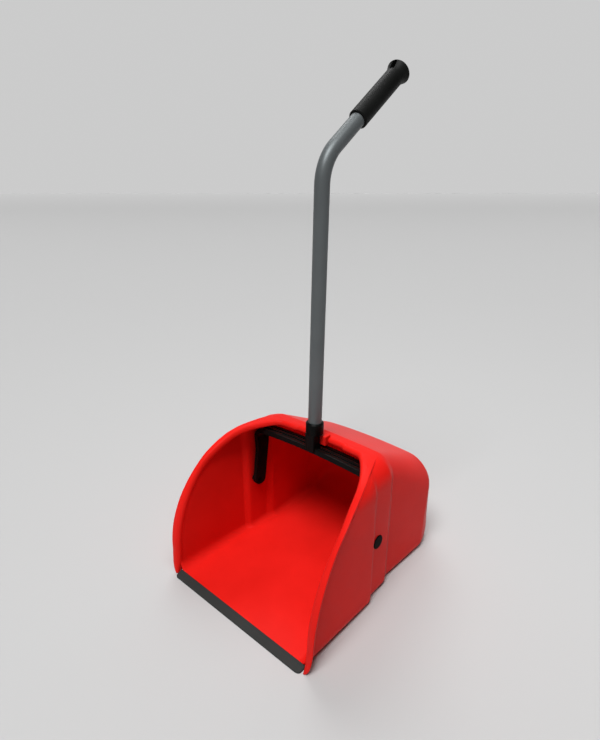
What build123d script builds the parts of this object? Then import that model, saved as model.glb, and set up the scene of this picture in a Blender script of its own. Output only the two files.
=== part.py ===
from build123d import *
import os
from math import cos, radians, sin, sqrt, tan

# Long-handled lobby dustpan: a deep moulded pan with a curved mouth, and a bent
# tube handle on a yoke that swings between the pan's side walls.
# Millimetres.  +X is to the right, +Y to the rear (the mouth faces -Y), +Z is up.
# The origin is on the floor, midway between the side walls, under the handle pivot.

# ---------------------------------------------------------------- pan
WALL = 2.8                    # moulded wall of the pan
FRONT_HALF = 162.3            # outer half widths of the side wall, from the mouth to the rear
MIDDLE_HALF = 154.8
HOPPER_HALF = 147.8
REAR_HALF = 155.5             # the hopper widens again behind the second step
STEP_1 = (-24.0, -13.5)       # Y where each inward step of the side wall starts and ends
STEP_2 = (33.0, 48.0)
TOP_CORNER_FRONT = 34.0
TOP_CORNER_HOPPER = 54.0
BOTTOM_CORNER = 12.0
BOTTOM_CORNER_REAR = 16.0
CROWN = 4.0                   # rise of the bridge at the middle of its width
LID_CROWN = 10.0              # the same for the lid of the hopper

MOUTH_RADIUS = 220.0          # seen from the side, the mouth edge is a quarter circle
MOUTH_CENTRE = (22.0, 46.0)   # (Y, Z) of its centre
FOOT_KICK = 6.0               # below the quarter circle the edge runs this far forward
MOUTH_START = -240.0          # the walls are made up to here, then cut to the mouth edge

BRIDGE_TOP = 266.5            # top of the bridge over the mouth
CREASE = (50.0, 264.0)        # (Y, Z) where the bridge turns down into the hopper lid
LID_SLOPE = 25.3              # degrees, the lid slopes down to the rear

HEEL_CENTRE = (167.0, 71.0)   # (Y, Z), round from the floor up to the rear wall
HEEL_RADIUS = 71.0
REAR_LEAN = 20.7              # degrees, the rear wall leans towards the mouth
BROW_CENTRE = (162.7, 155.5)  # (Y, Z), round from the rear wall to the lid
BROW_RADIUS = 50.0
REAR_CORNER = 66.0            # upright corners of the rear wall
REAR_SECTION_CORNER = 28.0    # corners of the rear wall's own outline

# ---------------------------------------------------------------- rim and bridge
RIM_THICK = 3.0
RIM_HALF_LOW = 176.5          # outer half width of the rim flange, low and high on the mouth
RIM_HALF_HIGH = 166.0
RIM_HIGH = 185.0              # distances along the chord of the mouth edge
RIM_TOP = (129.0, 311.0)
RIM_FOOT = (166.0, -33.0)
OPENING_SHOULDER = (150.5, 235.0)
OPENING_TOP = (88.0, 309.0)
SKIRT_DROP = 7.0              # turned-down front edge of the bridge
SKIRT_THICK = 2.6
RECESS_HALF = 55.0            # shallow recess of the bridge behind the handle
RECESS_DEPTH = 4.0
LATCH_HALF = 21.0             # latch block that the stem rests against
LATCH_Y = (17.6, 34.0)
LATCH_Z = (251.5, 272.0)
GROOVE_HALF = 4.4
GROOVE_DEPTH = 5.0

# ---------------------------------------------------------------- rubber lip blade
BLADE_HALF = 157.0
BLADE_REAR_Y = -194.0
BLADE_DEPTH = 16.6
BLADE_REAR_Z = 6.5
BLADE_TIP_Z = 1.2
BLADE_GAP = 0.4               # between the ends of the blade and the side walls
TONGUE_DEPTH = 9.0            # edge of the pan floor that the blade clips over
TONGUE_Z = (1.0, 2.8)
BLADE_OUTLINE = [
    (BLADE_REAR_Y, 0),
    (BLADE_REAR_Y, BLADE_REAR_Z),
    (BLADE_REAR_Y - BLADE_DEPTH, BLADE_TIP_Z),
    (BLADE_REAR_Y - BLADE_DEPTH, 0),
]

# ---------------------------------------------------------------- yoke and pivots
PIVOT_Z = 121.0
YOKE_LEAN = 8.0               # degrees, the yoke leans back from the pivots
ARM_INNER = 136.0             # half width between the arms
ARM_OUTER = 144.5
YOKE_DEPTH = 35.0
ARM_SETBACK = 7.0             # the arms are this much shallower than the crossbar, at the front
ARM_TAPER = (70.0, 102.0)     # heights up the yoke between which they widen to its full depth
ARM_END = 10.5                # the arms end this far below the pivots
ARM_END_ROUND = 12.0
BAR_TOP = 126.0               # top of the crossbar at its middle, measured up the yoke
BAR_THICK = 9.0
BAR_ARCH = 6.0                # rise of the crossbar between its shoulders
SHOULDER_RADIUS = 22.0
BAR_GROOVE_DEPTH = 1.6
BAR_GROOVES = (-6.0, 6.0)     # offsets from the middle of the crossbar's depth
BAR_GROOVE_WIDTH = 4.0
BOSS_RADIUS = 7.0
BOSS_GAP = 0.4                # between the boss face and the pan wall
PIN_RADIUS = 5.5
PIN_CLEARANCE = 0.06
PIN_HEAD_RADIUS = 12.8
PIN_HEAD_THICK = 1.4
PIN_HEAD_GAP = 0.3

# ---------------------------------------------------------------- stem, collar and tube
TUBE_RADIUS = 12.5
TUBE_WALL = 1.2
TUBE_LEAN = 1.5               # degrees, the upright part of the tube leans back
AXIS_FOOT = (12.0, 264.0)     # (Y, Z) of a point on the upright axis
BEND_Z = 736.0                # height where the two straight axes meet
BEND_RADIUS = 72.0
UPPER_SLOPE = 35.0            # degrees above horizontal
COLLAR_Z = (275.0, 297.0)
COLLAR_RADIUS = 16.4
COLLAR_FLOOR = 3.0
SPIGOT_HEIGHT = 58.0
SPIGOT_GAP = 0.1
STEM_HALF_X = 10.6
STEM_Y = (-3.6, 17.0)
SCREW_Z = 287.0
SCREW_RADIUS = 2.0
SCREW_HEAD_RADIUS = 4.2
SCREW_HEAD_THICK = 2.6
SCREW_HEAD_GAP = 0.1
SCREW_LENGTH = 14.0

# ---------------------------------------------------------------- grip
GRIP_START = 105.0            # along the upper axis from the bend point
GRIP_LENGTH = 143.0
GRIP_RADIUS = 16.1
GRIP_BORE = 98.0
FLARE_START = 119.0
KNOB_RADIUS = 20.6
KNOB_AT = 137.0
HANG_AT = 129.0
HANG_LENGTH = 18.0
HANG_WIDTH = 9.0

os.makedirs("parts", exist_ok=True)


# ---------------------------------------------------------------- pan sections
def upright_plane(bottom, top):
    """Plane across the pan through two (Y, Z) points, its local Y running up."""
    rise = Vector(0, top[0] - bottom[0], top[1] - bottom[1])
    across = Vector(1, 0, 0)
    return Plane(origin=(0, bottom[0], bottom[1]), x_dir=across, z_dir=across.cross(rise))


def section(bottom, top, half_width, top_corner, bottom_corner, crown=CROWN):
    """Cross-section of the pan: flat floor, straight sides, crowned top."""
    height = sqrt((top[0] - bottom[0]) ** 2 + (top[1] - bottom[1]) ** 2)
    shoulder = height - crown
    with BuildSketch(upright_plane(bottom, top)) as outline:
        with BuildLine():
            Polyline((-half_width, shoulder), (-half_width, 0), (half_width, 0), (half_width, shoulder))
            ThreePointArc((half_width, shoulder), (0, height), (-half_width, shoulder))
        make_face()
        fillet(outline.vertices().sort_by(Axis.Y)[-2:], top_corner)
        fillet(outline.vertices().sort_by(Axis.Y)[:2], bottom_corner)
    return outline.sketch


def straight_sections(inset):
    """Sections from in front of the mouth to the crease of the lid."""
    fall = (BRIDGE_TOP - CREASE[1]) / (CREASE[0] - LATCH_Y[0])
    stations = [
        (MOUTH_START, BRIDGE_TOP, FRONT_HALF, TOP_CORNER_FRONT),
        (STEP_1[0], BRIDGE_TOP, FRONT_HALF, TOP_CORNER_FRONT),
        (STEP_1[1], BRIDGE_TOP, MIDDLE_HALF, TOP_CORNER_FRONT),
        (LATCH_Y[0], BRIDGE_TOP, MIDDLE_HALF, TOP_CORNER_FRONT),
        (STEP_2[0], BRIDGE_TOP - fall * (STEP_2[0] - LATCH_Y[0]), MIDDLE_HALF, TOP_CORNER_FRONT),
        (STEP_2[1], BRIDGE_TOP - fall * (STEP_2[1] - LATCH_Y[0]), HOPPER_HALF, TOP_CORNER_FRONT),
        (CREASE[0], CREASE[1], HOPPER_HALF, TOP_CORNER_FRONT),
    ]
    return [
        section((y, inset), (y, z - inset), half - inset, corner - inset, BOTTOM_CORNER - inset)
        for y, z, half, corner in stations
    ]


def rear_sections(inset, count=6):
    """Sections that fan round the heel and the brow until they lie on the rear wall."""
    heel_radius = HEEL_RADIUS - inset
    brow_radius = BROW_RADIUS - inset
    rear_y = HEEL_CENTRE[0] + heel_radius - 8.0
    sections = []
    for i in range(count):
        turn = i / (count - 1)
        heel = radians(turn * (90 + REAR_LEAN))
        brow = radians((90 - LID_SLOPE) * (1 - turn) + REAR_LEAN * turn)
        low = (HEEL_CENTRE[0] + heel_radius * sin(heel), HEEL_CENTRE[1] - heel_radius * cos(heel))
        high = (BROW_CENTRE[0] + brow_radius * cos(brow), BROW_CENTRE[1] + brow_radius * sin(brow))
        round_depth = REAR_CORNER - inset
        depth = rear_y - (low[0] + high[0]) / 2
        depth = min(max(depth, 0.0), round_depth)
        bite = round_depth - sqrt(round_depth**2 - (round_depth - depth) ** 2)
        top_corner = TOP_CORNER_HOPPER + turn * (REAR_SECTION_CORNER - TOP_CORNER_HOPPER)
        bottom_corner = BOTTOM_CORNER_REAR + turn * (REAR_SECTION_CORNER - BOTTOM_CORNER_REAR)
        sections.append(
            section(
                low,
                high,
                REAR_HALF - inset - bite,
                top_corner - inset,
                bottom_corner - inset,
                LID_CROWN * (1 - 0.7 * turn),
            )
        )
    return sections


# ---------------------------------------------------------------- rim flange
chord_start = (MOUTH_CENTRE[0] - MOUTH_RADIUS, MOUTH_CENTRE[1])
chord_end = (MOUTH_CENTRE[0], MOUTH_CENTRE[1] + MOUTH_RADIUS)
chord_plane = upright_plane(chord_start, chord_end)


def mouth_edge(radius, kick):
    """Side view of the mouth edge from the floor up to the bridge, as three curves."""
    low = (MOUTH_CENTRE[0] - radius, MOUTH_CENTRE[1])
    high = (MOUTH_CENTRE[0], MOUTH_CENTRE[1] + radius)
    mid = (MOUTH_CENTRE[0] - radius * cos(radians(45)), MOUTH_CENTRE[1] + radius * sin(radians(45)))
    foot = (low[0] - kick, 0)
    Line(foot, low)
    ThreePointArc(low, mid, high)
    return foot, high


with BuildSketch(chord_plane) as opening:
    with BuildLine():
        inner_side = FRONT_HALF - WALL
        Polyline((0, -60), (inner_side, -60), (inner_side, 160), OPENING_SHOULDER)
        TangentArc(
            OPENING_SHOULDER,
            OPENING_TOP,
            tangent=(OPENING_SHOULDER[0] - inner_side, OPENING_SHOULDER[1] - 160),
        )
        Polyline(OPENING_TOP, (0, OPENING_TOP[1]), (0, -60))
    make_face()
    mirror(about=Plane.YZ)

with BuildPart() as rim:
    with BuildSketch(Plane.YZ):
        with BuildLine():
            outer_foot, outer_top = mouth_edge(MOUTH_RADIUS, FOOT_KICK)
            inner_foot, inner_top = mouth_edge(MOUTH_RADIUS - RIM_THICK, FOOT_KICK)
            Line(outer_foot, inner_foot)
            Line(outer_top, inner_top)
        make_face()
    extrude(amount=2 * RIM_HALF_LOW, both=True)
    with BuildSketch(chord_plane):
        with BuildLine():
            Polyline((0, 420), (RIM_TOP[0], 420), RIM_TOP)
            TangentArc(
                (RIM_HALF_HIGH, RIM_HIGH),
                RIM_TOP,
                tangent=(RIM_HALF_HIGH - RIM_HALF_LOW, RIM_HIGH),
            )
            Polyline((RIM_HALF_HIGH, RIM_HIGH), (RIM_HALF_LOW, -12), RIM_FOOT, (RIM_FOOT[0], -60))
            Polyline((RIM_FOOT[0], -60), (0, -60), (0, 420))
        make_face()
        mirror(about=Plane.YZ)
        add(opening.sketch_local, mode=Mode.SUBTRACT)
    extrude(amount=300, both=True, mode=Mode.INTERSECT)


# ---------------------------------------------------------------- pan body
with BuildPart() as pan_body:
    for inset, mode in ((0.0, Mode.ADD), (WALL, Mode.SUBTRACT)):
        straight = straight_sections(inset)
        rear = rear_sections(inset)
        for near, far in zip(straight, straight[1:] + rear[:1]):
            loft(sections=[near, far], ruled=True, mode=mode)
        loft(sections=rear, mode=mode)
    # the mouth
    with BuildSketch(Plane.YZ):
        with BuildLine():
            foot, crest = mouth_edge(MOUTH_RADIUS, FOOT_KICK)
            Polyline(foot, (foot[0], -10), (MOUTH_START - 10, -10), (MOUTH_START - 10, 300))
            Polyline((MOUTH_START - 10, 300), (crest[0], 300), crest)
        make_face()
    extrude(amount=2 * RIM_HALF_LOW, both=True, mode=Mode.SUBTRACT)
    extrude(opening.sketch, amount=MOUTH_RADIUS, mode=Mode.SUBTRACT)
    add(rim.part)
    # recess of the bridge behind the handle, then the turned-down front edges
    recess_y = MOUTH_CENTRE[0] + RECESS_DEPTH
    with BuildSketch(Plane.XY.offset(LATCH_Z[0])):
        with Locations((0, recess_y - RECESS_DEPTH)):
            RectangleRounded(2 * RECESS_HALF, 2 * RECESS_DEPTH, 0.75 * RECESS_DEPTH)
    extrude(amount=LATCH_Z[1], mode=Mode.SUBTRACT)
    skirt_low = MOUTH_CENTRE[1] + MOUTH_RADIUS - RIM_THICK - SKIRT_DROP
    for front_y, inner, outer in (
        (MOUTH_CENTRE[0], RECESS_HALF - SKIRT_THICK, OPENING_TOP[0] + 8),
        (recess_y, 0, RECESS_HALF),
    ):
        with BuildSketch(Plane.XY.offset(skirt_low)):
            with Locations((0, front_y + SKIRT_THICK / 2)):
                Rectangle(2 * outer, SKIRT_THICK)
                if inner:
                    Rectangle(2 * inner, SKIRT_THICK, mode=Mode.SUBTRACT)
        extrude(amount=SKIRT_DROP + RIM_THICK)
    # latch block in the middle of the bridge
    latch_depth = LATCH_Y[1] - LATCH_Y[0]
    with BuildSketch(Plane.XY.offset(LATCH_Z[0])):
        with Locations((0, (LATCH_Y[0] + LATCH_Y[1]) / 2)):
            RectangleRounded(2 * LATCH_HALF, latch_depth, 2.0)
        with Locations((0, LATCH_Y[0] + GROOVE_DEPTH / 2)):
            Rectangle(2 * GROOVE_HALF, GROOVE_DEPTH, mode=Mode.SUBTRACT)
    extrude(amount=LATCH_Z[1] - LATCH_Z[0])
    # edge of the floor that the lip blade clips over
    blade_cut = BLADE_HALF + BLADE_GAP
    with BuildSketch(Plane.YZ):
        with BuildLine():
            Polyline(*BLADE_OUTLINE, close=True)
        make_face()
    extrude(amount=blade_cut, both=True, mode=Mode.SUBTRACT)
    with Locations((0, BLADE_REAR_Y - TONGUE_DEPTH / 2 + 1, sum(TONGUE_Z) / 2)):
        Box(2 * blade_cut, TONGUE_DEPTH + 2, TONGUE_Z[1] - TONGUE_Z[0])
    # bores for the handle pins
    with BuildSketch(Plane.YZ):
        with Locations((0, PIVOT_Z)):
            Circle(PIN_RADIUS + PIN_CLEARANCE)
    extrude(amount=2 * FRONT_HALF, both=True, mode=Mode.SUBTRACT)


# ---------------------------------------------------------------- lip blade
with BuildPart() as lip_blade:
    with BuildSketch(Plane.YZ):
        with BuildLine():
            Polyline(*BLADE_OUTLINE, close=True)
        make_face()
        with BuildLine():
            slot_end = BLADE_REAR_Y - TONGUE_DEPTH
            slot = [(BLADE_REAR_Y, TONGUE_Z[0]), (slot_end, TONGUE_Z[0])]
            slot += [(slot_end, TONGUE_Z[1]), (BLADE_REAR_Y, TONGUE_Z[1])]
            Polyline(*slot, close=True)
        make_face(mode=Mode.SUBTRACT)
    extrude(amount=BLADE_HALF, both=True)


# ---------------------------------------------------------------- yoke
yoke_lean = radians(YOKE_LEAN)
yoke_plane = Plane(
    origin=(0, 0, PIVOT_Z),
    x_dir=(1, 0, 0),
    z_dir=(0, -cos(yoke_lean), sin(yoke_lean)),
)
side_plane = Plane(origin=(0, 0, PIVOT_Z), x_dir=yoke_plane.z_dir, z_dir=(-1, 0, 0))
tube_lean = radians(TUBE_LEAN)


def axis_y(height):
    """Y of the upright tube axis at a height."""
    return AXIS_FOOT[0] + (height - AXIS_FOOT[1]) * tan(tube_lean)


def axis_plane(height):
    """Plane square to the upright tube axis."""
    return Plane(
        origin=(0, axis_y(height), height),
        x_dir=(1, 0, 0),
        z_dir=(0, sin(tube_lean), cos(tube_lean)),
    )


def arched_outline(half, top, corner, foot):
    """Arch with upright legs: outer or inner line of the yoke."""
    shoulder = top - BAR_ARCH
    with BuildLine() as arch:
        Polyline((-half, shoulder), (-half, foot), (half, foot), (half, shoulder))
        ThreePointArc((half, shoulder), (0, top), (-half, shoulder))
    with BuildSketch() as outline:
        make_face(arch.edges())
        fillet(outline.vertices().group_by(Axis.Y)[-1], corner)
    return outline.sketch


with BuildPart() as yoke:
    with BuildSketch(yoke_plane):
        add(arched_outline(ARM_OUTER, BAR_TOP, SHOULDER_RADIUS, -ARM_END))
        inner_corner = SHOULDER_RADIUS - ARM_OUTER + ARM_INNER
        add(
            arched_outline(ARM_INNER, BAR_TOP - BAR_THICK, inner_corner, -YOKE_DEPTH),
            mode=Mode.SUBTRACT,
        )
    extrude(amount=YOKE_DEPTH / 2, both=True)
    with BuildSketch(side_plane):
        with BuildLine():
            front = YOKE_DEPTH / 2
            arm_front = front - ARM_SETBACK
            Polyline((arm_front, -2 * ARM_END), (arm_front, ARM_TAPER[0]), (front, ARM_TAPER[1]))
            Polyline((front, ARM_TAPER[1]), (front + 1, -2 * ARM_END), (arm_front, -2 * ARM_END))
        make_face()
    extrude(amount=2 * ARM_OUTER, both=True, mode=Mode.SUBTRACT)
    arm_ends = yoke.edges().filter_by(Axis.X).sort_by(Axis.Z)[:4]
    fillet(arm_ends, ARM_END_ROUND)
    # lengthwise grooves along the top of the crossbar
    for across in BAR_GROOVES:
        with BuildSketch(yoke_plane.offset(across - BAR_GROOVE_WIDTH / 2)):
            with Locations((0, BAR_TOP)):
                Rectangle(2 * ARM_INNER, 2 * BAR_THICK)
            add(
                arched_outline(ARM_OUTER, BAR_TOP - BAR_GROOVE_DEPTH, SHOULDER_RADIUS, 0),
                mode=Mode.SUBTRACT,
            )
        extrude(amount=BAR_GROOVE_WIDTH, mode=Mode.SUBTRACT)
    # round bosses that keep the arms clear of the pan walls
    for side in (1, -1):
        with BuildSketch(Plane.YZ.offset(side * ARM_INNER)):
            with Locations((0, PIVOT_Z)):
                Circle(BOSS_RADIUS)
        extrude(amount=side * (MIDDLE_HALF - WALL - BOSS_GAP - ARM_INNER))
    # stem from the crossbar up to the collar
    stem_foot = PIVOT_Z + BAR_TOP * cos(yoke_lean) - BAR_THICK / 2
    with BuildSketch(Plane.XY.offset(stem_foot)):
        with Locations((0, sum(STEM_Y) / 2)):
            RectangleRounded(2 * STEM_HALF_X, STEM_Y[1] - STEM_Y[0], 3.0)
    extrude(amount=COLLAR_Z[0] + 1 - stem_foot)
    with BuildSketch(Plane.XY.offset(LATCH_Z[0] + 4)):
        with Locations((0, STEM_Y[1])):
            Rectangle(2 * GROOVE_HALF - 1.2, 2 * GROOVE_DEPTH - 2.4)
    extrude(amount=COLLAR_Z[0] - LATCH_Z[0] - 3)
    # collar with a ring groove for the tube, and a spigot that fills the tube
    with BuildSketch(axis_plane(COLLAR_Z[0])):
        Circle(COLLAR_RADIUS)
    extrude(amount=COLLAR_Z[1] - COLLAR_Z[0])
    chamfer(yoke.edges().filter_by(GeomType.CIRCLE).group_by(Axis.Z)[-1], 1.5)
    with BuildSketch(axis_plane(COLLAR_Z[0] + COLLAR_FLOOR)):
        Circle(TUBE_RADIUS)
    extrude(amount=COLLAR_Z[1] - COLLAR_Z[0], mode=Mode.SUBTRACT)
    with BuildSketch(axis_plane(COLLAR_Z[0])):
        Circle(TUBE_RADIUS - TUBE_WALL - SPIGOT_GAP)
    extrude(amount=SPIGOT_HEIGHT)
    # bores for the pins
    with BuildSketch(Plane.YZ):
        with Locations((0, PIVOT_Z)):
            Circle(PIN_RADIUS)
    extrude(amount=FRONT_HALF, both=True, mode=Mode.SUBTRACT)


# ---------------------------------------------------------------- pivot pins
def pivot_pin(side):
    """Headed pin through the pan wall into the yoke's boss; side is +1 or -1."""
    head = MIDDLE_HALF + PIN_HEAD_GAP
    with BuildPart() as pin:
        with BuildSketch(Plane.YZ.offset(side * ARM_INNER)):
            with Locations((0, PIVOT_Z)):
                Circle(PIN_RADIUS)
        extrude(amount=side * (head + 1 - ARM_INNER))
        with BuildSketch(Plane.YZ.offset(side * head)):
            with Locations((0, PIVOT_Z)):
                Circle(PIN_HEAD_RADIUS)
        extrude(amount=side * PIN_HEAD_THICK)
        rim_edges = pin.edges().filter_by(GeomType.CIRCLE).group_by(Axis.X)
        fillet(rim_edges[-1] if side > 0 else rim_edges[0], PIN_HEAD_THICK - 0.3)
    return pin.part


pivot_pins = {"pivot_pin_right": pivot_pin(1), "pivot_pin_left": pivot_pin(-1)}


# ---------------------------------------------------------------- handle tube
tube_foot_z = COLLAR_Z[0] + COLLAR_FLOOR
upper = radians(UPPER_SLOPE)
bend_point = (0, axis_y(BEND_Z), BEND_Z)
tube_reach = GRIP_START + GRIP_BORE


def on_upper_axis(distance):
    """Point on the sloping upper axis, measured from the bend point."""
    return (0, bend_point[1] + distance * cos(upper), bend_point[2] + distance * sin(upper))


with BuildPart() as handle_tube:
    with BuildLine() as tube_axis:
        FilletPolyline(
            (0, axis_y(tube_foot_z), tube_foot_z),
            bend_point,
            on_upper_axis(tube_reach),
            radius=BEND_RADIUS,
        )
    with BuildSketch(axis_plane(tube_foot_z)):
        Circle(TUBE_RADIUS)
        Circle(TUBE_RADIUS - TUBE_WALL, mode=Mode.SUBTRACT)
    sweep(path=tube_axis.line)


# ---------------------------------------------------------------- grip
grip_plane = Plane(
    origin=on_upper_axis(GRIP_START),
    x_dir=(1, 0, 0),
    z_dir=(0, cos(upper), sin(upper)),
)

with BuildPart() as grip:
    with BuildSketch(Plane.XZ) as grip_profile:
        with BuildLine():
            Polyline((0, 0), (GRIP_RADIUS - 1.5, 0), (GRIP_RADIUS, 1.5), (GRIP_RADIUS, FLARE_START))
            Spline(
                (GRIP_RADIUS, FLARE_START),
                (KNOB_RADIUS, KNOB_AT),
                tangents=((0, 1), (0.35, 1)),
            )
            Spline(
                (KNOB_RADIUS, KNOB_AT),
                (0, GRIP_LENGTH),
                tangents=((0, 1), (-1, 0)),
                tangent_scalars=(0.6, 1.2),
            )
            Line((0, GRIP_LENGTH), (0, 0))
        make_face()
    revolve(axis=Axis.Z)
    with BuildSketch(Plane.XY):
        Circle(TUBE_RADIUS)
    extrude(amount=GRIP_BORE, mode=Mode.SUBTRACT)
    with BuildSketch(Plane.XZ):
        with Locations((0, HANG_AT)):
            SlotOverall(HANG_LENGTH, HANG_WIDTH, rotation=90)
    extrude(amount=2 * KNOB_RADIUS, both=True, mode=Mode.SUBTRACT)


# ---------------------------------------------------------------- socket screw
screw_plane = Plane(
    origin=(0, axis_y(SCREW_Z) + COLLAR_RADIUS + SCREW_HEAD_GAP, SCREW_Z),
    x_dir=(1, 0, 0),
    z_dir=(0, cos(tube_lean), -sin(tube_lean)),
)
with BuildPart() as socket_screw:
    with BuildSketch(screw_plane):
        Circle(SCREW_HEAD_RADIUS)
    extrude(amount=SCREW_HEAD_THICK)
    fillet(socket_screw.edges().group_by(Axis.Y)[-1], 1.2)
    with BuildSketch(screw_plane):
        Circle(SCREW_RADIUS)
    extrude(amount=-SCREW_LENGTH)

screw_bore = screw_plane * Cylinder(SCREW_RADIUS, 2 * SCREW_LENGTH)

# ---------------------------------------------------------------- finished pieces
pieces = {
    "pan_body": pan_body.part,
    "lip_blade": lip_blade.part,
    "yoke": yoke.part - screw_bore,
    "handle_tube": handle_tube.part - screw_bore,
    "grip": grip_plane * grip.part,
    "socket_screw": socket_screw.part,
    **pivot_pins,
}
for name, piece in pieces.items():
    piece.label = name
    export_step(piece, f"parts/{name}.step")
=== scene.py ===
import math

import bmesh
import bpy
import numpy as np
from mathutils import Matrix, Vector


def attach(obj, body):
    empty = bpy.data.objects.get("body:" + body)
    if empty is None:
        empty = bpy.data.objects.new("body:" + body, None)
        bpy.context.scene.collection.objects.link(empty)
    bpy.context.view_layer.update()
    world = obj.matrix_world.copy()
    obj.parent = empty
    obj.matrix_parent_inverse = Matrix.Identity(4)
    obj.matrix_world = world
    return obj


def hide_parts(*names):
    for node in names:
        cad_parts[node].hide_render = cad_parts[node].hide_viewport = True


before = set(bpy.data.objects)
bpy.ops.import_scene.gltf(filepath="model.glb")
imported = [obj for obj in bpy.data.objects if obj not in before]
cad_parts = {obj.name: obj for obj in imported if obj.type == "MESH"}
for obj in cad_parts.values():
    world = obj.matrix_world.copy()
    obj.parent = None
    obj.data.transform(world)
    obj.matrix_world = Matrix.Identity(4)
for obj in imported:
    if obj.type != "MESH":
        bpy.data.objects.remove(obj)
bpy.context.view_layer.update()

# Long-handled lobby dustpan.  The CAD frame: +X right, +Y to the rear, +Z up, floor at Z 0.
# Sizes of the modelled pieces are in millimetres and become metres in add_grid and add_block.

# ---------------------------------------------------------------- camera
CAMERA_PLACE = (0.5341, -0.6358, 0.7306)
CAMERA_AZIMUTH = 41.31
CAMERA_PITCH = 21.62
CAMERA_LENS = 25.25

scene = bpy.context.scene
camera_data = bpy.data.cameras.new("camera")
camera_data.lens = CAMERA_LENS
camera_data.sensor_width = 36.0
camera = bpy.data.objects.new("camera", camera_data)
camera.location = CAMERA_PLACE
camera.rotation_euler = (math.radians(90 - CAMERA_PITCH), 0.0, math.radians(CAMERA_AZIMUTH))
scene.collection.objects.link(camera)
scene.camera = camera
scene.view_settings.view_transform = "Standard"


# ---------------------------------------------------------------- floor, backdrop and lights
FLOOR_SHADE = 0.54
FLOOR_HALF = 20
STAGE_ROUGHNESS = 0.95
BACKDROP_GLOW = 0.60
WORLD_LIGHT = 0.06
# Each sun: name, direction towards it, width of its disc in degrees, strength.
SUNS = (
    ("key_above", (0.13, -0.5, 1.0), 26, 2.7),
    ("sheen_high", (-0.46, 0.40, 0.79), 30, 0.9),
    ("sheen_low", (-0.57, 0.70, 0.48), 26, 0.75),
)
HANDLE_LIGHT_PLACE = (0.3, -0.1, 1.8)
HANDLE_LIGHT_TARGET = (0, 0.2, 0.8)
HANDLE_LIGHT_SIZE = 0.5
HANDLE_LIGHT_POWER = 5.5


def add_stage_plane(name, corners, shade, glow):
    """Plain matt surface of the studio: its grey shade, and the strength of its own even glow."""
    mesh = bpy.data.meshes.new(name)
    mesh.from_pydata(corners, [], [(0, 1, 2, 3)])
    plane = bpy.data.objects.new(name, mesh)
    scene.collection.objects.link(plane)
    material = bpy.data.materials.new(name)
    material.use_nodes = True
    surface = material.node_tree.nodes["Principled BSDF"]
    surface.inputs["Base Color"].default_value = (shade, shade, shade, 1)
    surface.inputs["Roughness"].default_value = STAGE_ROUGHNESS
    surface.inputs["Specular IOR Level"].default_value = 0.0
    surface.inputs["Emission Color"].default_value = (1, 1, 1, 1)
    surface.inputs["Emission Strength"].default_value = glow
    mesh.materials.append(material)


def add_backdrop(distance=14.0, width=38.0, height=12.0):
    """Upright glowing panel behind the dustpan, square to the camera's line of sight."""
    azimuth = math.radians(CAMERA_AZIMUTH)
    ahead = Vector((-math.sin(azimuth), math.cos(azimuth), 0))
    across = Vector((math.cos(azimuth), math.sin(azimuth), 0)) * width / 2
    up = Vector((0, 0, height))
    foot = ahead * distance
    corners = [foot - across, foot + across, foot + across + up, foot - across + up]
    add_stage_plane("backdrop", corners, 0.0, BACKDROP_GLOW)


def add_softbox(name, place, target, size, power):
    """Square soft light at a place, aimed at a target."""
    data = bpy.data.lights.new(name, "AREA")
    data.size = size
    data.energy = power
    light = bpy.data.objects.new(name, data)
    light.location = place
    light.rotation_euler = (Vector(place) - Vector(target)).to_track_quat("Z", "Y").to_euler()
    scene.collection.objects.link(light)


def add_sun(name, towards, softness, strength):
    """Even soft light from a direction; softness is the width of its disc in degrees."""
    data = bpy.data.lights.new(name, "SUN")
    data.angle = math.radians(softness)
    data.energy = strength
    light = bpy.data.objects.new(name, data)
    light.rotation_euler = Vector(towards).to_track_quat("Z", "Y").to_euler()
    scene.collection.objects.link(light)


floor_corners = [(x * FLOOR_HALF, y * FLOOR_HALF, 0) for x, y in ((-1, -1), (1, -1), (1, 1), (-1, 1))]
add_stage_plane("floor", floor_corners, FLOOR_SHADE, 0.0)
add_backdrop()
for sun in SUNS:
    add_sun(*sun)
add_softbox(
    "handle_light", HANDLE_LIGHT_PLACE, HANDLE_LIGHT_TARGET, HANDLE_LIGHT_SIZE, HANDLE_LIGHT_POWER
)

world = bpy.data.worlds.new("studio")
world.use_nodes = True
world.node_tree.nodes["Background"].inputs["Color"].default_value = (1, 1, 1, 1)
world.node_tree.nodes["Background"].inputs["Strength"].default_value = WORLD_LIGHT
scene.world = world


# ---------------------------------------------------------------- materials
SURFACE_IOR = 1.2
CLOUD_SCALE = 9.0
CLOUD_EDGES = (0.3, 0.7)
LIGHT_LIFT = 0.002
GLOSS_SPREAD = 0.06
BUMP_STRENGTH = 0.35


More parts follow.
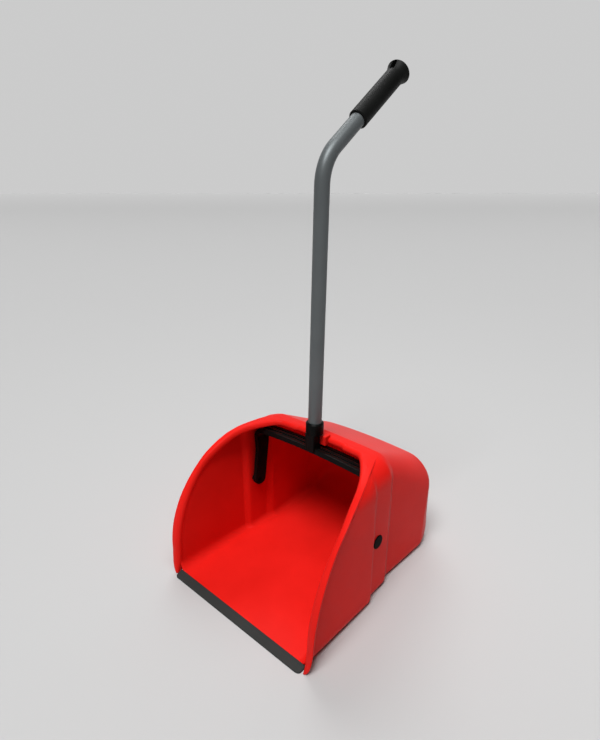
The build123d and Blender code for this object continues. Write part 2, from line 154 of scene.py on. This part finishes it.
def finish(name, colour, roughness, grain_scale, grain_depth, tint=0.06, shine=0.4, metal=0.0):
    """Moulded plastic, or metal: fine grain, with slight unevenness of colour and gloss."""
    material = bpy.data.materials.new(name)
    material.use_nodes = True
    nodes = material.node_tree.nodes
    links = material.node_tree.links
    surface = nodes["Principled BSDF"]
    surface.inputs["Specular IOR Level"].default_value = shine
    surface.inputs["IOR"].default_value = SURFACE_IOR
    surface.inputs["Metallic"].default_value = metal
    where = nodes.new("ShaderNodeTexCoord")

    cloud = nodes.new("ShaderNodeTexNoise")
    cloud.inputs["Scale"].default_value = CLOUD_SCALE
    cloud.inputs["Detail"].default_value = 4.0
    links.new(where.outputs["Object"], cloud.inputs["Vector"])
    shade = nodes.new("ShaderNodeValToRGB")
    dark = [c * (1 - tint) for c in colour]
    light = [min(1.0, c * (1 + tint) + LIGHT_LIFT) for c in colour]
    shade.color_ramp.elements[0].position = CLOUD_EDGES[0]
    shade.color_ramp.elements[0].color = (*dark, 1)
    shade.color_ramp.elements[1].position = CLOUD_EDGES[1]
    shade.color_ramp.elements[1].color = (*light, 1)
    links.new(cloud.outputs["Fac"], shade.inputs["Fac"])
    links.new(shade.outputs["Color"], surface.inputs["Base Color"])

    gloss = nodes.new("ShaderNodeMapRange")
    gloss.inputs["To Min"].default_value = roughness - GLOSS_SPREAD
    gloss.inputs["To Max"].default_value = roughness + GLOSS_SPREAD
    links.new(cloud.outputs["Fac"], gloss.inputs["Value"])
    links.new(gloss.outputs["Result"], surface.inputs["Roughness"])

    grain = nodes.new("ShaderNodeTexNoise")
    grain.inputs["Scale"].default_value = grain_scale
    grain.inputs["Detail"].default_value = 3.0
    links.new(where.outputs["Object"], grain.inputs["Vector"])
    bump = nodes.new("ShaderNodeBump")
    bump.inputs["Strength"].default_value = BUMP_STRENGTH
    bump.inputs["Distance"].default_value = grain_depth
    links.new(grain.outputs["Fac"], bump.inputs["Height"])
    links.new(bump.outputs["Normal"], surface.inputs["Normal"])
    return material


red = finish("pan_red", (0.77, 0.013, 0.009), 0.33, 900, 0.0002, shine=0.2)
rubber = finish("lip_rubber", (0.034, 0.035, 0.034), 0.6, 1200, 0.0003)
black = finish("yoke_black", (0.003, 0.003, 0.0028), 0.34, 900, 0.0002, tint=0.3, shine=0.3)
pin_black = finish("pin_black", (0.002, 0.002, 0.002), 0.5, 900, 0.0002, tint=0.3, shine=0.1)
grip_black = finish("grip_black", (0.006, 0.0065, 0.006), 0.5, 700, 0.0004, tint=0.3)
grey = finish("tube_grey", (0.13, 0.143, 0.147), 0.42, 1500, 0.0001, tint=0.08, shine=0.5, metal=0.35)
steel = finish("screw_steel", (0.5, 0.5, 0.5), 0.35, 1500, 0.0001, metal=1.0)


# ---------------------------------------------------------------- pan sizes, millimetres
MM = 0.001
WALL = 2.8

# Side view of the mouth: an arc about a centre (Y, Z); below it the edge runs on, kicked forward.
MOUTH_RADIUS = 220.0
MOUTH_CENTRE = (22.0, 46.0)
MOUTH_KICK = 6.0

# Half widths before the first step, between the steps, behind the second, and of the hopper.
HALF_WIDTHS = (162.3, 154.8, 147.8, 155.5)
MOUTH_ENDS = (-230.0, -204.0)
STEP_1 = (-24.0, -13.5)
STEP_2 = (33.0, 48.0)

# The bridge is crowned across; it is level at first and then falls towards the lid.
BRIDGE_TOP = 266.5
CROWN = 4.0
BRIDGE_LEVEL_END = 17.6
BRIDGE_END = 50.0
BRIDGE_FALL = 2.5

# Hopper: its corners' radii where it begins and at its rear; slope and lean are in degrees.
# Heel and brow are Y, Z and radius of its lower and upper bend.
TOP_CORNERS = (54.0, 28.0)
LOW_CORNERS = (16.0, 28.0)
LID_SLOPE = 25.3
LID_CROWN = 10.0
HEEL = (167.0, 71.0, 71.0)
BROW = (162.7, 155.5, 50.0)
REAR_LEAN = 20.7
REAR_CORNER = 66.0
REAR_INSET = 8
REAR_TURNS = 13
REAR_CROWN_LOSS = 0.7

# Rubber lip along the floor's front edge; its ends are cut back and a little lower.
BLADE_HALF = 157.0
BLADE_REAR_Y = -194.0
BLADE_DEPTH = 16.4
LIP_HEIGHT = 6.4
LIP_END = 9
LIP_END_CUT = 6.5
LIP_END_DROP = 1.2

# Block on the bridge for the handle's stem, with a groove in its front.
LATCH_HALF = 21.0
LATCH_Y = (17.6, 34.0)
LATCH_Z = (251.5, 270.0)
LATCH_BEVEL = 1.6
GROOVE_HALF = 4.4
GROOVE_DEPTH = 5.0

# The mouth's face, unrolled: distance across and distance along the edge from the floor.
FACE_INNER = [
    (159.3, 0), (159.3, 150), (159.0, 205), (157.0, 240), (153.0, 262), (146.0, 295), (141.0, 313),
    (132.0, 335), (121.0, 354), (108.0, 373), (98.0, 385), (90.0, 391), (82.0, 391.6), (58.5, 391.6),
    (56.0, 392.1), (54.0, 395.0), (51.5, 395.6), (0.0, 395.6),
]
FACE_OUTER = [
    (163.5, 0), (166.5, 3), (170.0, 9), (172.8, 20), (174.6, 40), (175.4, 70), (175.6, 110),
    (174.0, 157), (171.2, 200), (167.8, 250), (162.5, 283), (157.8, 306), (150.0, 333), (142.5, 352),
    (133.5, 377), (127.0, 393), (121.0, 405), (112.0, 412), (100.0, 415), (84.0, 416), (66.0, 417),
    (60.0, 417), (56.0, 417.5), (50.0, 418), (0.0, 418),
]

# Section of the rim: its roundings and flange, its depth and the place of its back, from and to.
FACE_ROUND = 8.0
EDGE_ROUND = 1.4
FLANGE_THICK = 3.0
RIM_DEPTHS = (12, 10)
RIM_BACKS = (3, 8)
CREST_PROUD = 0.15

# Where the rim changes along its edge, and where it levels into the bridge, in degrees of the curve.
CORNER_BEGINS = (215, 265)
CORNER_ENDS = (395, 355)
RIM_THINS = (215, 295)
LEVELLING = (66, 90)

# The shell's front edge: low down it meets the blade, higher up it hides inside the rim.
BLADE_ZONE = 6
WALL_TUCK = FACE_ROUND + 1.5
BRIDGE_TUCK = 1.4
CENTRE_TUCK = FACE_ROUND + 0.1
TUCK_HEIGHTS = (226, 238)
CENTRE_SPAN = (110, 90)
KICK_EXTRA = 0.4
BRIDGE_ALONG = 392

# How the shell's rails are cut in front of a Y, and how its rear wall closes in rings.
LID_START = 62.0
FRONT_STOPS = 120
REAR_SHARES = (0.985, 0.05)
REAR_RINGS = 20
REAR_SOFT_ROWS = 60
REAR_SOFT_PASSES = 12


def add_grid(name, rows, body, material, ring=False, caps=()):
    """Piece made of a grid of points in millimetres, riding on a body; caps are rows to close."""
    rows = np.asarray(rows, float) * MM
    count, width = rows.shape[:2]
    faces = []
    for i in range(count - 1):
        for j in range(width if ring else width - 1):
            k = (j + 1) % width
            faces.append((i * width + j, i * width + k, (i + 1) * width + k, (i + 1) * width + j))
    faces += [tuple(row % count * width + j for j in range(width)) for row in caps]
    mesh = bpy.data.meshes.new(name)
    mesh.from_pydata([tuple(point) for point in rows.reshape(-1, 3)], [], faces)
    mesh.materials.append(material)
    outward = bmesh.new()
    outward.from_mesh(mesh)
    bmesh.ops.recalc_face_normals(outward, faces=outward.faces)
    outward.to_mesh(mesh)
    outward.free()
    mesh.shade_smooth()
    piece = bpy.data.objects.new(name, mesh)
    scene.collection.objects.link(piece)
    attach(piece, body)
    return piece


def ramp(value, start, end):
    """Share of the way from start to end, held between 0 and 1."""
    return min(max((value - start) / (end - start), 0), 1)


def soften(table, passes):
    """Running average down a table, which rounds its corners; its ends stay."""
    table = np.array(table, float)
    for _ in range(passes):
        table[1:-1] = table[1:-1] * 0.5 + (table[:-2] + table[2:]) * 0.25
    return table


def resample(points, count):
    """Points at even distances along a line through the given ones."""
    points = np.array(points, float)
    along = np.concatenate([[0], np.cumsum(np.linalg.norm(np.diff(points, axis=0), axis=1))])
    even = np.linspace(0, along[-1], count)
    return np.stack([np.interp(even, along, column) for column in points.T], axis=1)


# ---------------------------------------------------------------- pan shell
def pan_stations(spacing=1.2, passes=2):
    """Rows of foot Y, foot Z, head Y, head Z, half width, top corner, bottom corner, crown."""
    front, middle, hopper, wide = HALF_WIDTHS
    # Upright sections of the mouth: Y, fall of the top, half width, top corner, bottom corner.
    mouth = [
        (MOUTH_ENDS[0], 0.0, front, 34, 24),
        (MOUTH_ENDS[1], 0.0, front, 34, 24),
        (STEP_1[0], 0.0, front, 34, 14),
        (STEP_1[1], 0.0, middle, 34, 14),
        (STEP_2[0], 0.8, middle, 34, 14),
        (STEP_2[1], 2.2, hopper, 34, 14),
        (BRIDGE_END, BRIDGE_FALL, hopper, 36, 14),
    ]
    keys = [(y, 0, y, BRIDGE_TOP - fall, half, top, low, CROWN) for y, fall, half, top, low in mouth]
    heel_y, heel_z, heel_radius = HEEL
    brow_y, brow_z, brow_radius = BROW
    rear_y = heel_y + heel_radius - REAR_INSET
    for turn in np.linspace(0, 1, REAR_TURNS):
        heel = math.radians(turn * (90 + REAR_LEAN))
        brow = math.radians((90 - LID_SLOPE) * (1 - turn) + REAR_LEAN * turn)
        foot = (heel_y + heel_radius * math.sin(heel), heel_z - heel_radius * math.cos(heel))
        head = (brow_y + brow_radius * math.cos(brow), brow_z + brow_radius * math.sin(brow))
        depth = min(max(rear_y - (foot[0] + head[0]) / 2, 0), REAR_CORNER)
        bite = REAR_CORNER - math.sqrt(REAR_CORNER**2 - (REAR_CORNER - depth) ** 2)
        corners = [first + turn * (last - first) for first, last in (TOP_CORNERS, LOW_CORNERS)]
        crown = LID_CROWN * (1 - REAR_CROWN_LOSS * turn)
        keys.append((*foot, *head, wide - bite, *corners, crown))
    keys = np.array(keys)
    middles = (keys[:, 0:2] + keys[:, 2:4]) / 2
    along = np.concatenate([[0], np.cumsum(np.linalg.norm(np.diff(middles, axis=0), axis=1))])
    even = np.linspace(0, along[-1], int(along[-1] / spacing))
    return soften(np.stack([np.interp(even, along, column) for column in keys.T], axis=1), passes)


def half_section(station, floor=12, corner=9, side=34, top=20):
    """Right half of a cross-section, from the middle of the floor up to the middle of the top."""
    foot_y, foot_z, head_y, head_z, half, top_radius, low_radius, crown = station
    height = math.hypot(head_y - foot_y, head_z - foot_z)
    shoulder = height - crown
    turn = np.linspace(0, math.pi / 2, corner)
    base = np.linspace(0, half - low_radius, floor, endpoint=False)
    rise = np.linspace(low_radius, shoulder - top_radius, side)[1:-1]
    roof = np.linspace(half - top_radius, 0, top)[1:]
    across = np.concatenate(
        [
            base,
            half - low_radius + low_radius * np.sin(turn),
            np.full(side - 2, half),
            half - top_radius + top_radius * np.cos(turn),
            roof,
        ]
    )
    up = np.concatenate(
        [
            np.zeros(floor),
            low_radius * (1 - np.cos(turn)),
            rise,
            shoulder - top_radius + top_radius * np.sin(turn),
            np.full(top - 1, shoulder),
        ]
    )
    lift = np.clip((up - shoulder + top_radius) / top_radius, 0, 1)
    up = up + lift * crown * (1 - (across / half) ** 2)
    y = foot_y + (head_y - foot_y) * up / height
    z = foot_z + (head_z - foot_z) * up / height
    return np.stack([across, y, z], axis=1)


def arc_y(z, radius):
    """Y of the mouth's curve at a height, at some distance from its centre."""
    if z < MOUTH_CENTRE[1]:
        return MOUTH_CENTRE[0] - radius - MOUTH_KICK * (1 - z / MOUTH_CENTRE[1])
    return MOUTH_CENTRE[0] - math.sqrt(max(radius**2 - (z - MOUTH_CENTRE[1]) ** 2, 0))


def shell_start(x, z):
    """Y where the shell starts, hidden inside the rim, or behind the blade along the floor."""
    if z < BLADE_ZONE and x < BLADE_HALF + 0.3:
        return BLADE_REAR_Y - 0.1
    if z < BLADE_ZONE:
        return arc_y(z, MOUTH_RADIUS - 1)
    if z < TUCK_HEIGHTS[0]:
        return arc_y(z, MOUTH_RADIUS - WALL_TUCK)
    inner_x, inner_along = np.array(FACE_INNER, float).T
    along = float(np.interp(-x, -inner_x, inner_along))
    turn = min((along - MOUTH_CENTRE[1] - KICK_EXTRA) / MOUTH_RADIUS, math.pi / 2)
    edge = MOUTH_CENTRE[0] - MOUTH_RADIUS * math.cos(turn) + max(along - BRIDGE_ALONG, 0)
    blend = ramp(z, *TUCK_HEIGHTS)
    hidden = BRIDGE_TUCK + CENTRE_TUCK * ramp(x, *CENTRE_SPAN)
    on_curve = arc_y(z, MOUTH_RADIUS - WALL_TUCK * (1 - blend) - BRIDGE_TUCK * blend)
    return max(on_curve, edge + hidden * blend)


def pan_shell():
    """Floor, walls, lid and hopper as one skin, cut along the mouth and closed at the rear."""
    sections = np.array([half_section(station) for station in pan_stations()])
    join = int(np.searchsorted(sections[:, 0, 1], LID_START))
    rails = []
    for rail in np.swapaxes(sections, 0, 1):
        depth = rail[: join + 1, 1]
        start = shell_start(*rail[join // 2, [0, 2]])
        stops = np.linspace(start, depth[-1], FRONT_STOPS)
        fresh = np.stack([np.interp(stops, depth, rail[: join + 1, k]) for k in range(3)], axis=1)
        rails.append(np.concatenate([fresh, rail[join + 1 :]]))
    right = np.swapaxes(np.array(rails), 0, 1)
    left = right[:, ::-1] * (-1, 1, 1)
    rings = np.concatenate([right, left[:, 1:-1]], axis=1)
    middle = rings[-1].mean(axis=0)
    shares = np.linspace(*REAR_SHARES, REAR_RINGS)
    rings = np.concatenate([rings, [middle + (rings[-1] - middle) * share for share in shares]])
    rings[-REAR_SOFT_ROWS:] = soften(rings[-REAR_SOFT_ROWS:], REAR_SOFT_PASSES)
    return rings


# ---------------------------------------------------------------- rim and bridge
def bridge_height(x, y):
    """Top of the bridge: crowned across, level at the front and falling towards the lid."""
    fall = max(y - BRIDGE_LEVEL_END, 0) * BRIDGE_FALL / (BRIDGE_END - BRIDGE_LEVEL_END)
    return BRIDGE_TOP - CROWN * (x / HALF_WIDTHS[1]) ** 2 - fall


def on_face(x, along, depth):
    """Point on the mouth's face, or some depth under it."""
    centre_y, centre_z = MOUTH_CENTRE
    kick = math.hypot(MOUTH_KICK, centre_z)
    quarter = MOUTH_RADIUS * math.pi / 2
    if along < kick:
        share = along / kick
        lean = math.atan2(MOUTH_KICK, centre_z) * (1 - share)
        y = centre_y - MOUTH_RADIUS - MOUTH_KICK * (1 - share)
        z = max(centre_z * share - depth * math.sin(lean), 0)
        return x, y + depth * math.cos(lean), z
    turn = min((along - kick) / MOUTH_RADIUS, math.pi / 2)
    reach = MOUTH_RADIUS - depth
    y = centre_y - reach * math.cos(turn) + max(along - kick - quarter, 0)
    z = centre_z + reach * math.sin(turn)
    level = ramp(math.degrees(turn), *LEVELLING)
    level = level * level * (3 - 2 * level)
    crest = bridge_height(x, y) + CREST_PROUD - (centre_z + MOUTH_RADIUS)
    return x, y, z + level * crest


def rim_profile(width, depth, back):
    """Closed section through the rim: distance out from the inner edge and depth under the face."""
    radius = min(FACE_ROUND, width * 0.6)
    turn = np.linspace(0, math.pi / 2, 9)
    face = [(radius - radius * math.cos(t), radius - radius * math.sin(t)) for t in turn]
    flat = width - EDGE_ROUND
    edge = [(flat + EDGE_ROUND * math.sin(t), EDGE_ROUND - EDGE_ROUND * math.cos(t)) for t in turn[::2]]
    under = [(width - 0.4, FLANGE_THICK), (back + 3, FLANGE_THICK)]
    under += [(back + 1, FLANGE_THICK + 0.8), (back, FLANGE_THICK + 2.5)]
    foot = [(back, depth - 0.5), (back - 0.5, depth), (0.5, depth), (0, depth - 0.6)]
    return foot + face + edge + under


def pan_rim(count=200, passes=3):
    """Rolled rim along the mouth, from the left foot over the bridge to the right foot."""
    inner = np.array(FACE_INNER, float)
    outer = np.array(FACE_OUTER, float)
    inner = soften(resample(inner, count), passes)
    outer = soften(resample(outer, count), passes)
    rows = []
    for (inner_x, inner_along), (outer_x, outer_along) in zip(inner, outer):
        width = math.hypot(outer_x - inner_x, outer_along - inner_along)
        corner = ramp(inner_along, *CORNER_BEGINS) * ramp(inner_along, *CORNER_ENDS)
        depth = RIM_DEPTHS[0] + (RIM_DEPTHS[1] - RIM_DEPTHS[0]) * ramp(inner_along, *RIM_THINS)
        back = RIM_BACKS[0] + (RIM_BACKS[1] - RIM_BACKS[0]) * corner
        row = []
        for out, under in rim_profile(width, depth, back):
            share = out / width
            x = inner_x + (outer_x - inner_x) * share
            along = inner_along + (outer_along - inner_along) * share
            row.append(on_face(x, along, under))
        rows.append(row)
    rows = np.array(rows)
    mirrored = rows[::-1] * (-1, 1, 1)
    return np.concatenate([rows, mirrored[1:]])


# ---------------------------------------------------------------- latch block and lip blade
def add_block(name, outline, low, high, bevel, body, material, slot):
    """Upright block with softened edges, from an outline in X and Y."""
    count = len(outline)
    points = [(x * MM, y * MM, z * MM) for z in (low, high) for x, y in outline]
    faces = [(i, (i + 1) % count, (i + 1) % count + count, i + count) for i in range(count)]
    faces += [tuple(reversed(range(count))), tuple(range(count, 2 * count))]
    mesh = bpy.data.meshes.new(name)
    mesh.from_pydata(points, [], faces)
    mesh.materials.append(material)
    piece = bpy.data.objects.new(name, mesh)
    scene.collection.objects.link(piece)
    softened = piece.modifiers.new("bevel", "BEVEL")
    softened.width = bevel * MM
    softened.segments = 3
    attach(piece, body)
    return piece


def latch_outline():
    """Block that the handle's stem rests against, with the groove for the stem's rib."""
    front, rear = LATCH_Y
    right = [
        (GROOVE_HALF, front + GROOVE_DEPTH), (GROOVE_HALF, front),
        (LATCH_HALF, front), (LATCH_HALF, rear),
    ]
    return right + [(-x, y) for x, y in reversed(right)]


def lip_sections(count=60):
    """Sections of the rubber lip from end to end; its ends are rounded off in plan."""
    turn = np.linspace(-math.pi / 2, math.pi / 2, count)
    rows = []
    for x in BLADE_HALF * np.sin(turn):
        into_end = max(abs(x) - (BLADE_HALF - LIP_END), 0) / LIP_END
        depth = BLADE_DEPTH - LIP_END_CUT * (1 - math.sqrt(1 - into_end**2))
        rear = BLADE_REAR_Y
        tip = rear - depth
        fold = LIP_HEIGHT - LIP_END_DROP * into_end**2
        profile = [
            (rear, 0.0), (rear, fold - 0.8), (rear - 0.8, fold), (rear - 4, fold - 0.7),
            (rear - 4.6, fold - 1.2), (rear - 5.4, fold - 1.2), (tip + 3, 2.9), (tip + 1, 2.2),
            (tip, 1.4), (tip, 0.4), (tip + 0.4, 0.0),
        ]
        rows.append([(x, y, z) for y, z in profile])
    return rows


shell = add_grid("pan_shell", pan_shell(), "pan", red, ring=True, caps=[-1])
thickness = shell.modifiers.new("wall", "SOLIDIFY")
thickness.thickness = WALL * MM
thickness.offset = -1
add_grid("pan_rim", pan_rim(), "pan", red, ring=True, caps=[0, -1])
add_block("latch_block", latch_outline(), *LATCH_Z, LATCH_BEVEL, "pan", red, "pan_plastic")
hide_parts("pan_body")
lip = add_grid("lip_rubber", lip_sections(), "pan", rubber, ring=True, caps=[0, -1])
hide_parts("lip_blade")


# ---------------------------------------------------------------- handle
WELD_METRES = 0.00002
YOKE_BEVEL_METRES = 0.0009
YOKE_BEVEL_ANGLE = 40
HANDLE_FINISHES = {
    "yoke": black,
    "pivot_pin_left": pin_black,
    "pivot_pin_right": pin_black,
    "handle_tube": grey,
    "grip": grip_black,
    "socket_screw": steel,
}
for node, material in HANDLE_FINISHES.items():
    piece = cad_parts[node]
    piece.data.materials.clear()
    piece.data.materials.append(material)

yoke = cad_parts["yoke"]
joined = yoke.modifiers.new("join", "WELD")
joined.merge_threshold = WELD_METRES
softened = yoke.modifiers.new("bevel", "BEVEL")
softened.width = YOKE_BEVEL_METRES
softened.segments = 2
softened.limit_method = "ANGLE"
softened.angle_limit = math.radians(YOKE_BEVEL_ANGLE)
